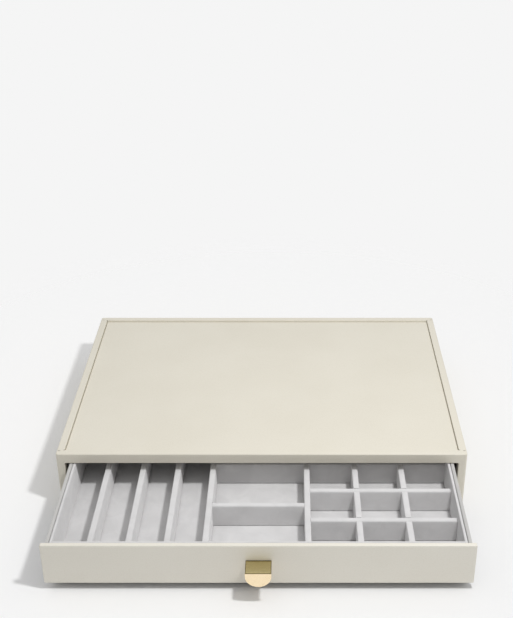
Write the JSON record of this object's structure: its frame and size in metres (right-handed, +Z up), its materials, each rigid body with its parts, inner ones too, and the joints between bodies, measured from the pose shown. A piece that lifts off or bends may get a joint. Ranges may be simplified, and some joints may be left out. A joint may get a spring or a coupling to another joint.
{
  "type": "stackable jewellery drawer",
  "caption": "Flat wrapped case with a sunk top for stacking and one sliding velvet-lined drawer with long, middle and small compartments and a half-round metal pull tab.",
  "frame": {"origin": "middle of the underside of the stacking base, on the surface that the case stands on", "axes": "+Z up, +X to the right seen from the front, +Y from the drawer front to the back; the drawer opens towards -Y"},
  "size_m": [0.365, 0.3793, 0.056],
  "materials": {
    "leatherette": "smooth polyurethane leatherette, warm cream, satin",
    "velvet": "short pile velvet, pale grey",
    "lining_paper": "thin suedette lining, grey",
    "drawer_paper": "board covered with pale grey suedette",
    "base_felt": "felt covered card, grey",
    "fibreboard": "raw medium density fibreboard",
    "brushed_brass": "finely brushed, lacquered"
  },
  "bodies": {
    "case": {"case_wrap": "leatherette", "case_lining": "lining_paper", "case_left_board": "fibreboard", "case_right_board": "fibreboard", "case_back_board": "fibreboard", "case_front_rail": "fibreboard", "case_top_board": "fibreboard", "case_bottom_board": "fibreboard", "top_inset_panel": "leatherette", "stacking_base": "base_felt"},
    "drawer": {"drawer_front_board": "fibreboard", "drawer_front_wrap": "leatherette", "drawer_left_side": "drawer_paper", "drawer_right_side": "drawer_paper", "drawer_back": "drawer_paper", "drawer_bottom": "fibreboard", "insert_tray_board": "fibreboard", "insert_floor_pad": "velvet", "insert_left_wall": "velvet", "insert_right_wall": "velvet", "insert_front_wall": "velvet", "insert_back_wall": "velvet", "long_divider_1": "velvet", "long_divider_2": "velvet", "long_divider_3": "velvet", "zone_wall_left": "velvet", "zone_wall_right": "velvet", "column_divider_1": "velvet", "column_divider_2": "velvet", "cross_wall": "velvet", "middle_divider_front": "velvet", "middle_divider_rear": "velvet", "row_divider_1": "velvet", "row_divider_2": "velvet", "row_divider_3": "velvet", "row_divider_4": "velvet", "pull_tab": "brushed_brass", "pull_rivets": "brushed_brass"}
  },
  "joints": [
    {"name": "drawer_slide", "type": "slide", "parent": "case", "child": "drawer", "axis": [0, -1, 0], "range_m": [-0.1086, 0.0714]}
  ]
}
